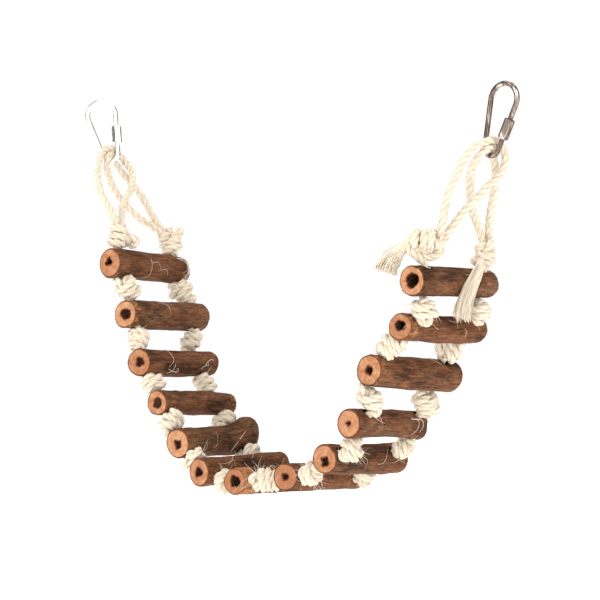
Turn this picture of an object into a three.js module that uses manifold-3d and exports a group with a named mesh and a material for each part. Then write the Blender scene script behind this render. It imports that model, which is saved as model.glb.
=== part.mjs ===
// A hanging rope ladder of bark-covered branch rungs, hung in a U between two hooks.
//
// Two sisal ropes run side by side through a pair of holes in every rung, with one fat
// knot in each gap. At each end both ropes are doubled back into an eye that passes
// through a pear-shaped screw link and is tied off in a top knot.
//
// Millimetres, +Z up. The origin is where the left hook bears inside the left link.
// +X runs along the span towards the right link, and +Y runs along the rungs from their
// near ends to their far ends.
//
// A rope is one real length, but it is made here in stretches: the part inside a rung
// with the knot below it, the crown over a link's foot, and the two legs of an eye with
// their top knot. A rung can rock a few degrees about its own length before the sides of
// its holes bear on the ropes.

import * as THREE from "three";
import { mergeVertices } from "three/addons/utils/BufferGeometryUtils.js";
import Module from "manifold-3d";

const wasm = await Module();
wasm.setup();

// ---- Driving dimensions ------------------------------------------------------------

// Rungs, from the left end to the right. The centres form a chain from the first one:
// PITCH is each step's length and HEADING its direction above +X, in degrees.
const FIRST_RUNG_X = 50;
const FIRST_RUNG_Z = -121.5;
const PITCH = [37, 35, 33, 32, 31, 33, 37, 35, 32, 37, 36, 31];
const HEADING = [-71, -73, -60, -54, -36, -12, 5, 21, 45, 62, 52, 68];
const HEADING_IN = -88; // of the ropes as they reach the first rung
const HEADING_OUT = 80; // and as they leave the last one
const RUNG_DIAMETER = [20, 20.5, 19.5, 17.5, 21, 19, 19, 19, 20, 18, 21, 18, 19.5];
const RUNG_LENGTH = [81, 82, 81, 81, 81, 83, 82, 82, 82, 82, 83, 82, 82];
const RUNG_SHIFT = [-4, 1, 2, 3, 2, 2, -1, 2, 2, -4, 1, 1, -4]; // of the middle, along +Y
const RUNG_YAW = [-4, -2, -4, -3, -4, 3, 2, -2, -1, -2, 5, 3, 2]; // degrees, far end to +X
const RUNG_TILT = [-1, 0, 0, -1, 1, 2, 0, -1, -1, -1, -2, 0, 1]; // degrees, far end up
const RUNG_TAPER = 0.03; // how much thinner the far end is than the middle
const RUNG_SIDES = 12;
const BARK_LUMP = 0.035; // how far a rung is out of round, as a share of its radius

const PITH_DIAMETER = 4;
const PITH_DEPTH = 4;

// Ropes
const ROPE_DIAMETER = 5.2;
const SQUEEZED_DIAMETER = 4.2; // where two ropes crowd over a link's foot
const ROPE_SIDES = 8;
const NEAR_ROPE_Y = -32;
const FAR_ROPE_Y = 28;
const ROPE_HOLE = 7.2;
const FACE_DEPTH = 0.2; // how far a rope's face stands proud of the rung it comes out of
const ROPE_IN_KNOT = 5; // how deep a straight stretch reaches into a knot
const JOINT_GAP = 0.6; // between the faces of two stretches of rope
const KNOT_WIDTH = 14.5;
const KNOT_DEPTH = 13.5;
const KNOT_CLEARANCE = 1.1; // between a knot and the rungs above and below it
const KNOT_OFFSET = [2, 0, 0, 1, 0, -2, 1, -2, -5, -2, 2, -6]; // across the chain

// Screw links
const WIRE = 3.4;
const LINK_HEAD_RADIUS = 10.2; // of the wire's centreline, at the wide end
const LINK_FOOT_RADIUS = 5.5; // and at the narrow end
const HOOK_TO_FOOT = 44.5; // from where the hook bears to the wire's centre at the foot
const LINK_LEAN = 17; // degrees, head away from the ladder
const LEFT_LINK_TURN = 37.5; // degrees from the X-Z plane, about +Z
const RIGHT_LINK_TURN = -6;
const RIGHT_HOOK = [348.5, 0, -20];
const LINK_STEPS = 34;
const WIRE_SIDES = 8;
const GATE_GAP = 5; // the cut in the wire that the nut bridges
const NUT_LENGTH = 13;
const NUT_ACROSS_FLATS = 6.2;
const NUT_BORE = 4.1;
const NUT_CHAMFER = 0.7;
const NUT_PLACE = 0.53; // of the way down the straight leg

// The eyes: the route of each rope's centreline from one leg's foot, up over the link's
// foot wire and down the other leg.
const LEFT_NEAR_EYE = [
  [50, -33, -96], [46, -33, -88], [39, -32, -79], [31, -30, -70], [24, -26, -61],
  [18, -20, -51], [14, -14, -43], [12, -9, -37.5], [11, -5, -34.2], [10.5, 0, -33],
  [10.5, 5, -34.2], [12, 10, -38], [15, 13, -43], [20, 13, -49], [25, 9, -56],
  [30, 2, -64], [34, -8, -72], [39, -17, -80], [44, -23, -88], [48, -28, -96],
];
const LEFT_FAR_EYE = [
  [43, 23, -97], [38, 18, -91], [31, 11, -85], [26, 5, -78], [22, 0, -71],
  [19, -5, -63], [17.5, -8, -55], [16, -8.5, -48.5], [15.3, -7.5, -43.5], [14, -5, -39.6],
  [12.2, -2, -38], [11.5, 0, -37.7], [10.6, 2.7, -38.6], [10.2, 5.7, -42], [12.3, 9.3, -48],
  [15.5, 13.5, -54.5],
  [20, 17, -61], [24, 19, -67], [29, 21, -75], [34, 22, -83], [42, 26, -96],
];
const RIGHT_NEAR_EYE = [
  [315, -26, -116], [318, -27, -104], [320, -26, -93], [323, -25, -83], [326, -22, -74],
  [329, -19, -66], [332, -14, -59], [335, -8, -55.5], [337.6, -3.5, -53.4], [338.2, 0, -53],
  [338.5, 4, -53.7], [340, 7.5, -57.5], [341, 9.5, -63], [340, 9, -69.5], [337.5, 6, -76],
  [334, 1, -81], [331, -4, -87], [328, -10, -93], [324, -15, -100], [316, -23, -115],
];
const RIGHT_FAR_EYE = [
  [315, 25, -117], [315, 21, -109], [315, 16, -102], [317, 8, -94], [320, 1, -85],
  [324, -5, -76], [328, -8, -69], [332, -8, -64], [335.4, -5.5, -59.8], [336.7, -2.5, -58],
  [337, 0, -57.7], [336.6, 3, -58.4], [334.5, 6.5, -63], [332.5, 11, -69], [329.5, 15.5, -77],
  [327, 18, -85], [323, 21, -94], [319, 25, -104], [317, 28, -115],
];
const NEAR_CROWN_REACH = 11; // along the rope, each way from the top of the crown
const FAR_CROWN_REACH = 8.5;
const CROWN_GAP = 1.1; // between a crown's end face and the leg under it
const LEG_STEPS = 8;
const CROWN_STEPS = 8;

// Frayed tails at the right end, and the width of the fan each one opens into
const NEAR_TAIL = [[297.5, -37, -119], [293, -39, -123], [289, -43, -128], [285, -46, -134]];
const FAR_TAIL = [
  [319.5, 13, -131], [321.5, 6, -136.5], [322, 0, -143], [320.5, -3, -150], [317.5, -3, -157],
  [313.5, 1, -164],
];
const TAIL_FAN = 2.6; // how many times wider than the rope a tail's end is
const TAIL_STEPS = 6;

// ---- Colours and finishes ----------------------------------------------------------

const bark = new THREE.MeshStandardMaterial({ color: 0x5a4236, roughness: 0.9, metalness: 0 });
const sisal = new THREE.MeshStandardMaterial({ color: 0xefe2c8, roughness: 0.95, metalness: 0 });
const nickel = new THREE.MeshStandardMaterial({ color: 0xd8d8d6, roughness: 0.2, metalness: 1 });

// ---- Helpers -----------------------------------------------------------------------

const radians = THREE.MathUtils.degToRad;
const vector = (p) => new THREE.Vector3(...p);
const group = new THREE.Group();

function addMesh(name, geometry, material) {
  const mesh = new THREE.Mesh(geometry, material);
  mesh.name = name;
  group.add(mesh);
}

function toSolid(geometry) {
  const bare = geometry.clone();
  bare.deleteAttribute("normal");
  bare.deleteAttribute("uv");
  const merged = mergeVertices(bare, 1e-4);
  return new wasm.Manifold(
    new wasm.Mesh({
      numProp: 3,
      vertProperties: merged.attributes.position.array,
      triVerts: new Uint32Array(merged.index.array),
    }),
  );
}

function toGeometry(solid) {
  const mesh = solid.getMesh();
  const geometry = new THREE.BufferGeometry();
  geometry.setAttribute("position", new THREE.BufferAttribute(mesh.vertProperties, 3));
  geometry.setIndex(new THREE.BufferAttribute(mesh.triVerts, 1));
  return geometry;
}

const join = (geometries) =>
  toGeometry(geometries.map(toSolid).reduce((whole, piece) => whole.add(piece)));

const cut = (geometry, tools) =>
  toGeometry(tools.map(toSolid).reduce((whole, tool) => whole.subtract(tool), toSolid(geometry)));

// A geometry whose own axis is +Y, laid along the line from one point to another.
function layAlong(geometry, from, to) {
  const direction = to.clone().sub(from).normalize();
  const turn = new THREE.Quaternion().setFromUnitVectors(new THREE.Vector3(0, 1, 0), direction);
  geometry.applyQuaternion(turn);
  return geometry.translate(...from.clone().lerp(to, 0.5).toArray());
}

function rod(from, to, diameter, sides = ROPE_SIDES) {
  const length = from.distanceTo(to);
  return layAlong(
    new THREE.CylinderGeometry(diameter / 2, diameter / 2, length, sides),
    from,
    to,
  );
}

// A knot's outer shape: an egg with its length along a direction.
function egg(centre, along, length, width, depth) {
  const geometry = new THREE.SphereGeometry(0.5, 8, 6);
  geometry.scale(depth, length, width);
  const half = along.clone().multiplyScalar(length / 2);
  return layAlong(geometry, centre.clone().sub(half), centre.clone().add(half));
}

// A round section as a shape with few sides.
function roundSection(diameter, sides) {
  const points = [];
  for (let i = 0; i < sides; i += 1) {
    const angle = (2 * Math.PI * (i + 0.5)) / sides;
    points.push(new THREE.Vector2(Math.cos(angle), Math.sin(angle)).multiplyScalar(diameter / 2));
  }
  return new THREE.Shape(points);
}

// A tube along a stretch of a curve, between two distances along it.
function tubeAlong(curve, start, end, diameter, steps) {
  const samples = 4 * steps;
  const length = curve.getLength();
  const points = [];
  for (let i = 0; i <= samples; i += 1) {
    const distance = THREE.MathUtils.lerp(start, end, i / samples);
    points.push(curve.getPointAt(THREE.MathUtils.clamp(distance / length, 0, 1)));
  }
  const path = new THREE.CatmullRomCurve3(points, false, "centripetal");
  const section = roundSection(diameter, ROPE_SIDES);
  return new THREE.ExtrudeGeometry(section, { steps, extrudePath: path });
}

// ---- Rungs -------------------------------------------------------------------------

const rungCount = RUNG_DIAMETER.length;

// Where each rung is: its middle, the direction of its length, and the direction in
// which the ropes pass through it.
function placeRungs() {
  const places = [];
  let x = FIRST_RUNG_X;
  let z = FIRST_RUNG_Z;
  for (let k = 0; k < rungCount; k += 1) {
    const before = k === 0 ? HEADING_IN : HEADING[k - 1];
    const after = k === rungCount - 1 ? HEADING_OUT : HEADING[k];
    const heading = radians((before + after) / 2);
    const yaw = radians(RUNG_YAW[k]);
    const tilt = radians(RUNG_TILT[k]);
    places.push({
      middle: new THREE.Vector3(x, RUNG_SHIFT[k], z),
      length: new THREE.Vector3(
        Math.sin(yaw) * Math.cos(tilt),
        Math.cos(yaw) * Math.cos(tilt),
        Math.sin(tilt),
      ),
      through: new THREE.Vector3(Math.cos(heading), 0, Math.sin(heading)),
      radius: RUNG_DIAMETER[k] / 2,
    });
    if (k < rungCount - 1) {
      x += PITCH[k] * Math.cos(radians(HEADING[k]));
      z += PITCH[k] * Math.sin(radians(HEADING[k]));
    }
  }
  return places;
}

const rungs = placeRungs();

// The point on a rung's middle line that a rope passes through.
function ropeHole(rung, ropeY) {
  const distance = (ropeY - rung.middle.y) / rung.length.y;
  return rung.middle.clone().addScaledVector(rung.length, distance);
}

// A log that tapers a little and is a little out of round, built along +Y.
function logGeometry(radius, length, seed) {
  const geometry = new THREE.CylinderGeometry(
    radius * (1 - RUNG_TAPER),
    radius * (1 + RUNG_TAPER / 2),
    length,
    RUNG_SIDES,
  );
  const position = geometry.attributes.position;
  for (let i = 0; i < position.count; i += 1) {
    const angle = Math.atan2(position.getZ(i), position.getX(i));
    const lump = 1 - BARK_LUMP * (0.5 + 0.5 * Math.cos(2 * angle + seed));
    position.setX(i, position.getX(i) * lump);
    position.setZ(i, position.getZ(i) * lump);
  }
  return geometry;
}

function addRung(rung, k) {
  const end = rung.length.clone().multiplyScalar(RUNG_LENGTH[k] / 2);
  const near = rung.middle.clone().sub(end);
  const far = rung.middle.clone().add(end);
  const log = layAlong(logGeometry(rung.radius, RUNG_LENGTH[k], k), near, far);
  const past = rung.length.clone();
  const depth = rung.length.clone().multiplyScalar(PITH_DEPTH);
  const pith = [
    rod(near.clone().sub(past), near.clone().add(depth), PITH_DIAMETER, 6),
    rod(far.clone().add(past), far.clone().sub(depth), PITH_DIAMETER, 6),
  ];
  const holes = [NEAR_ROPE_Y, FAR_ROPE_Y].map((y) => {
    const centre = ropeHole(rung, y);
    const out = rung.through.clone().multiplyScalar(rung.radius + 2);
    return rod(centre.clone().sub(out), centre.clone().add(out), ROPE_HOLE);
  });
  addMesh(`rung_${pad(k)}`, cut(log, [...pith, ...holes]), bark);
}

const pad = (k) => String(k + 1).padStart(2, "0");

// ---- Ropes through the rungs -------------------------------------------------------

// One rope's stretch in rung k: through the hole and on to the knot in the gap after it.
function addRopeStretch(side, ropeY, k) {
  const rung = rungs[k];
  const here = ropeHole(rung, ropeY);
  const start = here.clone().addScaledVector(rung.through, -rung.radius - FACE_DEPTH);
  const name = `${side}_rope_${pad(k)}`;
  if (k === rungCount - 1) {
    const end = here.clone().addScaledVector(rung.through, rung.radius + FACE_DEPTH);
    addMesh(name, rod(start, end, ROPE_DIAMETER), sisal);
    return;
  }
  const next = rungs[k + 1];
  const there = ropeHole(next, ropeY);
  const out = here.clone().addScaledVector(rung.through, rung.radius + ROPE_IN_KNOT);
  const arrive = there.clone().addScaledVector(next.through, -next.radius - FACE_DEPTH - JOINT_GAP);
  const inside = arrive.clone().addScaledVector(next.through, -ROPE_IN_KNOT);
  const along = there.clone().sub(here).normalize();
  const across = new THREE.Vector3(-along.z, 0, along.x);
  const room = here.distanceTo(there) - rung.radius - next.radius;
  const knot = here
    .clone()
    .addScaledVector(rung.through, rung.radius)
    .lerp(there.clone().addScaledVector(next.through, -next.radius), 0.5)
    .addScaledVector(across, KNOT_OFFSET[k]);
  const slack = Math.abs(KNOT_OFFSET[k]) * 0.2; // an offset knot clears the round rungs
  const length = room - 2 * KNOT_CLEARANCE + slack;
  const pieces = [
    rod(start, out, ROPE_DIAMETER),
    rod(inside, arrive, ROPE_DIAMETER),
    egg(knot, along, length, KNOT_WIDTH, KNOT_DEPTH),
  ];
  addMesh(name, join(pieces), sisal);
}

// ---- Eyes and top knots ------------------------------------------------------------

const eyeCurve = (points) =>
  new THREE.CatmullRomCurve3(points.map(vector), false, "centripetal");

// The distance along an eye's curve to the point where it is highest.
function crownDistance(curve) {
  const samples = 400;
  const length = curve.getLength();
  let best = 0;
  for (let i = 1; i <= samples; i += 1) {
    const higher = curve.getPointAt(i / samples).z > curve.getPointAt(best / samples).z;
    if (higher) best = i;
  }
  return (best / samples) * length;
}

// An eye is a crown over the link's foot, and two legs that end in a top knot. The top
// knot's own pieces, and the stub of rope down to the rung, are passed in.
function addEye(name, points, reach, knotPieces) {
  const curve = eyeCurve(points);
  const top = crownDistance(curve);
  const end = curve.getLength();
  addMesh(
    `${name}_crown`,
    tubeAlong(curve, top - reach, top + reach, SQUEEZED_DIAMETER, CROWN_STEPS),
    sisal,
  );
  const legs = [
    tubeAlong(curve, 0, top - reach - CROWN_GAP, ROPE_DIAMETER, LEG_STEPS),
    tubeAlong(curve, top + reach + CROWN_GAP, end, ROPE_DIAMETER, LEG_STEPS),
  ];
  addMesh(`${name}_eye`, join([...legs, ...knotPieces]), sisal);
}

// The rope from a top knot to the rung it stands on. side is -1 at the first rung, where
// the rope comes in, and 1 at the last, where it goes out.
function stub(rung, ropeY, side, knotCentre) {
  const hole = ropeHole(rung, ropeY);
  const face = rung.radius + FACE_DEPTH + JOINT_GAP;
  const end = hole.clone().addScaledVector(rung.through, side * face);
  const beyond = hole.clone().addScaledVector(rung.through, side * (face + 2));
  return [rod(end, beyond, ROPE_DIAMETER), rod(beyond, knotCentre, ROPE_DIAMETER)];
}

function addEyes() {
  const first = rungs[0];
  const last = rungs[rungCount - 1];
  const up = new THREE.Vector3(0, 0, 1);

  const leftNear = new THREE.Vector3(50.3, -32, -100.5);
  addEye("left_near", LEFT_NEAR_EYE, NEAR_CROWN_REACH, [
    egg(leftNear, up, 14, 13, 13),
    egg(new THREE.Vector3(55, -24, -104.5), up, 9, 9, 9),
    rod(leftNear, new THREE.Vector3(55, -24, -104.5), ROPE_DIAMETER),
    ...stub(first, NEAR_ROPE_Y, -1, leftNear),
  ]);

  const leftFar = new THREE.Vector3(46, 26, -101);
  addEye("left_far", LEFT_FAR_EYE, FAR_CROWN_REACH, [
    egg(leftFar, up, 15, 14, 14),
    rod(leftFar, new THREE.Vector3(51, 31, -93), ROPE_DIAMETER),
    ...stub(first, FAR_ROPE_Y, -1, leftFar),
  ]);

  const rightNear = new THREE.Vector3(309, -30, -116.5);
  const lump = new THREE.Vector3(309, -31, -125.5);
  addEye("right_near", RIGHT_NEAR_EYE, NEAR_CROWN_REACH, [
    egg(rightNear, new THREE.Vector3(0.79, 0.6, 0.1).normalize(), 25, 12, 12),
    egg(lump, new THREE.Vector3(0.79, 0.6, 0).normalize(), 15, 12, 9.5),
    rod(lump, rightNear, ROPE_DIAMETER),
    ...stub(last, NEAR_ROPE_Y, 1, lump),
  ]);

  const rightFar = new THREE.Vector3(315.5, 24.5, -123);
  addEye("right_far", RIGHT_FAR_EYE, FAR_CROWN_REACH, [
    egg(rightFar, up, 16, 16, 15),
    ...stub(last, FAR_ROPE_Y, 1, rightFar),
  ]);
}

// ---- Frayed tails ------------------------------------------------------------------

// A tail is a short tube that spreads into a flat fan of loose fibre towards its end.
function addTail(name, points) {
  const curve = eyeCurve(points);
  const geometry = tubeAlong(curve, 0, curve.getLength(), ROPE_DIAMETER, TAIL_STEPS);
  const start = vector(points[0]);
  const end = vector(points[points.length - 1]);
  const run = end.clone().sub(start);
  const spread = new THREE.Vector3(0.79, 0.61, 0);
  spread.addScaledVector(run, -spread.dot(run) / run.lengthSq()).normalize();
  const position = geometry.attributes.position;
  const point = new THREE.Vector3();
  for (let i = 0; i < position.count; i += 1) {
    point.fromBufferAttribute(position, i);
    const part = point.clone().sub(start).dot(run) / run.lengthSq();
    const centre = curve.getPointAt(THREE.MathUtils.clamp(part, 0, 1));
    const sideways = point.clone().sub(centre).dot(spread);
    const wider = 1 + (TAIL_FAN - 1) * THREE.MathUtils.smoothstep(part, 0.15, 1);
    point.addScaledVector(spread, sideways * (wider - 1));
    position.setXYZ(i, point.x, point.y, point.z);
  }
  addMesh(name, geometry, sisal);
}

// ---- Screw links -------------------------------------------------------------------

// A link lies in its own X-Z plane with the hook's bearing point at its origin and its
// length along Z. The wire starts at one side of the gate gap and ends at the other, so
// the curve is open. gateSide is 1 for a gate on the +X leg and -1 for one on the -X leg.
function linkGeometry(gateSide) {
  const headZ = WIRE / 2 - LINK_HEAD_RADIUS;
  const footZ = -HOOK_TO_FOOT + LINK_FOOT_RADIUS;
  const spacing = headZ - footZ;
  const taper = Math.asin((LINK_HEAD_RADIUS - LINK_FOOT_RADIUS) / spacing);
  const legTop = new THREE.Vector3(
    LINK_HEAD_RADIUS * Math.cos(taper),
    0,
    headZ - LINK_HEAD_RADIUS * Math.sin(taper),
  );
  const legFoot = new THREE.Vector3(
    LINK_FOOT_RADIUS * Math.cos(taper),
    0,
    footZ - LINK_FOOT_RADIUS * Math.sin(taper),
  );
  const legDirection = legFoot.clone().sub(legTop).normalize();
  const nut = legTop.clone().lerp(legFoot, NUT_PLACE);
  const path = new THREE.CurvePath();
  const flat = (x, z) => new THREE.Vector3(gateSide * x, 0, z);
  const arc = (radius, z, from, to) => {
    const points = [];
    const count = 12;
    for (let i = 0; i <= count; i += 1) {
      const angle = THREE.MathUtils.lerp(from, to, i / count);
      points.push(flat(radius * Math.cos(angle), z + radius * Math.sin(angle)));
    }
    return new THREE.CatmullRomCurve3(points, false, "centripetal");
  };
  const gateUp = nut.clone().addScaledVector(legDirection, -GATE_GAP / 2);
  const gateDown = nut.clone().addScaledVector(legDirection, GATE_GAP / 2);
  path.add(new THREE.LineCurve3(flat(gateUp.x, gateUp.z), flat(legTop.x, legTop.z)));
  path.add(arc(LINK_HEAD_RADIUS, headZ, -taper, Math.PI + taper));
  path.add(new THREE.LineCurve3(flat(-legTop.x, legTop.z), flat(-legFoot.x, legFoot.z)));
  path.add(arc(LINK_FOOT_RADIUS, footZ, Math.PI + taper, 2 * Math.PI - taper));
  path.add(new THREE.LineCurve3(flat(legFoot.x, legFoot.z), flat(gateDown.x, gateDown.z)));
  const section = roundSection(WIRE, WIRE_SIDES);
  const wire = new THREE.ExtrudeGeometry(section, { steps: LINK_STEPS, extrudePath: path });
  return { wire, nut: flat(nut.x, nut.z), legDirection: flat(legDirection.x, legDirection.z) };
}

// A long hexagonal nut with chamfered ends and a plain round bore, centred on the gate.
function nutGeometry(centre, along) {
  const corner = NUT_ACROSS_FLATS / 2 / Math.cos(Math.PI / 6);
  const half = NUT_LENGTH / 2;
  const profile = [
    [0, -half],
    [corner - NUT_CHAMFER, -half],
    [corner, -half + NUT_CHAMFER],
    [corner, half - NUT_CHAMFER],
    [corner - NUT_CHAMFER, half],
    [0, half],
  ].map(([x, y]) => new THREE.Vector2(x, y));
  const from = centre.clone().addScaledVector(along, -half);
  const to = centre.clone().addScaledVector(along, half);
  const hexagon = layAlong(new THREE.LatheGeometry(profile, 6), from, to);
  const bore = rod(from.clone().sub(along), to.clone().add(along), NUT_BORE, 12);
  return cut(hexagon, [bore]);
}

function addLink(name, hook, lean, turn, gateSide) {
  const { wire, nut, legDirection } = linkGeometry(gateSide);
  const place = (geometry) => {
    geometry.rotateZ(radians(turn));
    geometry.rotateY(radians(lean));
    return geometry.translate(...hook);
  };
  addMesh(`${name}_link`, place(wire), nickel);
  addMesh(`${name}_nut`, place(nutGeometry(nut, legDirection)), nickel);
}

// ---- The object --------------------------------------------------------------------

rungs.forEach(addRung);
for (let k = 0; k < rungCount; k += 1) {
  addRopeStretch("near", NEAR_ROPE_Y, k);
  addRopeStretch("far", FAR_ROPE_Y, k);
}
addEyes();
addTail("near_tail", NEAR_TAIL);
addTail("far_tail", FAR_TAIL);
addLink("left", [0, 0, 0], -LINK_LEAN, LEFT_LINK_TURN, 1);
addLink("right", RIGHT_HOOK, LINK_LEAN, RIGHT_LINK_TURN, 1);

export default group;
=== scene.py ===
import math

import bpy
import numpy as np
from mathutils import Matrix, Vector


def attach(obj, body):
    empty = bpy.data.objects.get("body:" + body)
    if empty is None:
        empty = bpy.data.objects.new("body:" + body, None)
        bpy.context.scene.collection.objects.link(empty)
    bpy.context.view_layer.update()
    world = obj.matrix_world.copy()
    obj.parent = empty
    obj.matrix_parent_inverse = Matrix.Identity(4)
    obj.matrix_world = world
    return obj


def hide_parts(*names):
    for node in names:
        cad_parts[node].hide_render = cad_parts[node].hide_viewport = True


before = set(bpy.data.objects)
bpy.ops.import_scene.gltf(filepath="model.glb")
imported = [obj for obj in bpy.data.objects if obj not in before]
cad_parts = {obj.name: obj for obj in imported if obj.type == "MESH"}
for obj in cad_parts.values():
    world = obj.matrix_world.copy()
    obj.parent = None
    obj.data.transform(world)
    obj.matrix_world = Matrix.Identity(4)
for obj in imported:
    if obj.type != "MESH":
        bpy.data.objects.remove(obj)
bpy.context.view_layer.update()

# A hanging rope ladder of bark-covered branch rungs. Lengths here are millimetres in the
# part's frame, and become metres when a mesh is made.
MM = 0.001

# ---- Driving dimensions, as in the CAD source ---------------------------------------

FIRST_RUNG = (50.0, -121.5)
PITCH = [37, 35, 33, 32, 31, 33, 37, 35, 32, 37, 36, 31]
HEADING = [-71, -73, -60, -54, -36, -12, 5, 21, 45, 62, 52, 68]
HEADING_IN = -88
HEADING_OUT = 80
RUNG_DIAMETER = [20, 20.5, 19.5, 17.5, 21, 19, 19, 19, 20, 18, 21, 18, 19.5]
RUNG_LENGTH = [81, 82, 81, 81, 81, 83, 82, 82, 82, 82, 83, 82, 82]
RUNG_SHIFT = [-4, 1, 2, 3, 2, 2, -1, 2, 2, -4, 1, 1, -4]
RUNG_YAW = [-4, -2, -4, -3, -4, 3, 2, -2, -1, -2, 5, 3, 2]
RUNG_TILT = [-1, 0, 0, -1, 1, 2, 0, -1, -1, -1, -2, 0, 1]
RUNGS = len(RUNG_DIAMETER)
ROPE = 5.2
ROPE_Y = {"near": -32.0, "far": 28.0}
ROPE_HOLE = 6.6
KNOT_OFFSET = [2, 0, 0, 1, 0, -2, 1, -2, -5, -2, 2, -6]

WIRE = 3.4
LINK_HEAD_RADIUS = 10.2
LINK_FOOT_RADIUS = 5.5
HOOK_TO_FOOT = 44.5
NUT_LENGTH = 13.0
NUT_ACROSS_FLATS = 6.2
NUT_CHAMFER = 0.7
NUT_PLACE = 0.53
GATE_GAP = 5.0
THREAD_LENGTH = 7.0  # on each side of the gate's gap
THREAD_PITCH = 0.8
THREAD_DEPTH = 0.22
LINK_HEAD_DEPTH = 8.5  # from the hook's place down to the middle of the head's arc
# hook, lean about +Y and turn about +Z of each link, in degrees
LINKS = {"left": ((0, 0, 0), -17, 37.5), "right": ((348.5, 0, -20), 17, -6)}

# The eyes: each rope's centreline over its link's foot, leg to leg.
EYES = {
    "left_near": [
        (50, -33, -96), (46, -33, -88), (39, -32, -79), (31, -30, -70), (24, -26, -61),
        (18, -20, -51), (14, -14, -43), (12, -9, -37.5), (11, -5, -34.2), (10.5, 0, -33),
        (10.5, 5, -34.2), (12, 10, -38), (15, 13, -43), (20, 13, -49), (25, 9, -56),
        (30, 2, -64), (34, -8, -72), (39, -17, -80), (44, -23, -88), (48, -28, -96),
    ],
    "left_far": [
        (43, 23, -97), (38, 18, -91), (31, 11, -85), (26, 5, -78), (22, 0, -71),
        (19, -5, -63), (17.5, -8, -55), (16, -8.5, -48.5), (15.3, -7.5, -43.5),
        (14, -5, -39.6), (12.2, -2, -38), (11.5, 0, -37.7), (10.6, 2.7, -38.6),
        (10.2, 5.7, -42), (12.3, 9.3, -48), (15.5, 13.5, -54.5), (20, 17, -61),
        (24, 19, -67), (29, 21, -75), (34, 22, -83), (42, 26, -96),
    ],
    "right_near": [
        (315, -26, -116), (318, -27, -104), (320, -26, -93), (323, -25, -83),
        (326, -22, -74), (329, -19, -66), (332, -14, -59), (335, -8, -55.5),
        (337.6, -3.5, -53.4), (338.2, 0, -53), (338.5, 4, -53.7), (340, 7.5, -57.5),
        (341, 9.5, -63), (340, 9, -69.5), (337.5, 6, -76), (334, 1, -81),
        (331, -4, -87), (328, -10, -93), (324, -15, -100), (316, -23, -115),
    ],
    "right_far": [
        (315, 25, -117), (315, 21, -109), (315, 16, -102), (317, 8, -94), (320, 1, -85),
        (324, -5, -76), (328, -8, -69), (332, -8, -64), (335.4, -5.5, -59.8),
        (336.7, -2.5, -58), (337, 0, -57.7), (336.6, 3, -58.4), (334.5, 6.5, -63),
        (332.5, 11, -69), (329.5, 15.5, -77), (327, 18, -85), (323, 21, -94),
        (319, 25, -104), (317, 28, -115),
    ],
}
NEAR_TAIL = [
    (301, -34, -116.5), (297.5, -37, -119), (292.5, -39, -123), (288.5, -42, -129), (286, -44, -137),
]
FAR_TAIL = [
    (317, 19, -126), (319.5, 13, -131), (321.5, 6, -136.5), (322, 0, -143), (320.5, -3, -150),
    (317.5, -3, -157), (313.5, 1, -164),
]

# ---- Vectors, curves and noise -------------------------------------------------------


def unit(v):
    v = np.asarray(v, float)
    return v / np.linalg.norm(v, axis=-1, keepdims=True)


def smoothstep(x, low, high):
    t = np.clip((x - low) / (high - low), 0, 1)
    return t * t * (3 - 2 * t)


def lattice(cell, seed):
    """A fixed random number from -1 to 1 for each corner of a grid."""
    mask = 0xFFFFFFFF
    h = (cell[..., 0] * 374761393 + cell[..., 1] * 668265263 + cell[..., 2] * 1440662683) & mask
    h = (h + seed * 97531) & mask
    h = ((h ^ (h >> 13)) * 1274126177) & mask
    h = ((h ^ (h >> 15)) * 1103515245) & mask
    return ((h ^ (h >> 16)) & 0xFFFF) / 32767.5 - 1


def noise(p, seed=0):
    """Smooth value noise of points p, about -1 to 1."""
    cell = np.floor(p).astype(np.int64)
    f = p - cell
    f = f * f * (3 - 2 * f)
    total = 0
    for corner in range(8):
        offset = np.array([corner & 1, corner >> 1 & 1, corner >> 2 & 1])
        weight = np.prod(np.where(offset, f, 1 - f), axis=-1)
        total = total + weight * lattice(cell + offset, seed)
    return total


def smooth_path(points, spacing):
    """A centripetal Catmull-Rom curve through the points, resampled to an even spacing."""
    p = np.array(points, float)
    p = np.vstack([2 * p[0] - p[1], p, 2 * p[-1] - p[-2]])
    out = []
    for i in range(1, len(p) - 2):
        q = p[i - 1 : i + 3]
        t = np.concatenate([[0], np.cumsum(np.linalg.norm(np.diff(q, axis=0), axis=1) ** 0.5)])
        u = np.linspace(t[1], t[2], 24, endpoint=False)[:, None]
        a = [((t[j + 1] - u) * q[j] + (u - t[j]) * q[j + 1]) / (t[j + 1] - t[j]) for j in range(3)]
        b = [((t[j + 2] - u) * a[j] + (u - t[j]) * a[j + 1]) / (t[j + 2] - t[j]) for j in range(2)]
        out.append(((t[2] - u) * b[0] + (u - t[1]) * b[1]) / (t[2] - t[1]))
    out.append(p[-2:-1])
    return resample(np.vstack(out), spacing)


def distance_along(points):
    return np.concatenate([[0], np.cumsum(np.linalg.norm(np.diff(points, axis=0), axis=1))])


def resample(points, spacing):
    along = distance_along(points)
    count = max(2, int(round(along[-1] / spacing)) + 1)
    at = np.linspace(0, along[-1], count)
    return np.stack([np.interp(at, along, points[:, i]) for i in range(3)], axis=1)


def path_length(points):
    return float(np.linalg.norm(np.diff(points, axis=0), axis=1).sum())


def frames_along(points):
    """Tangents, and normals that turn as little as they can."""
    tangent = unit(np.gradient(points, axis=0))
    normal = [unit(np.cross(tangent[0], [0.31, 0.52, 0.8]))]
    for t in tangent[1:]:
        n = normal[-1] - t * (normal[-1] @ t)
        normal.append(unit(n))
    normal = np.array(normal)
    return tangent, normal, np.cross(tangent, normal)


def ring_angles(sides):
    return 2 * np.pi * np.arange(sides) / sides


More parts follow.
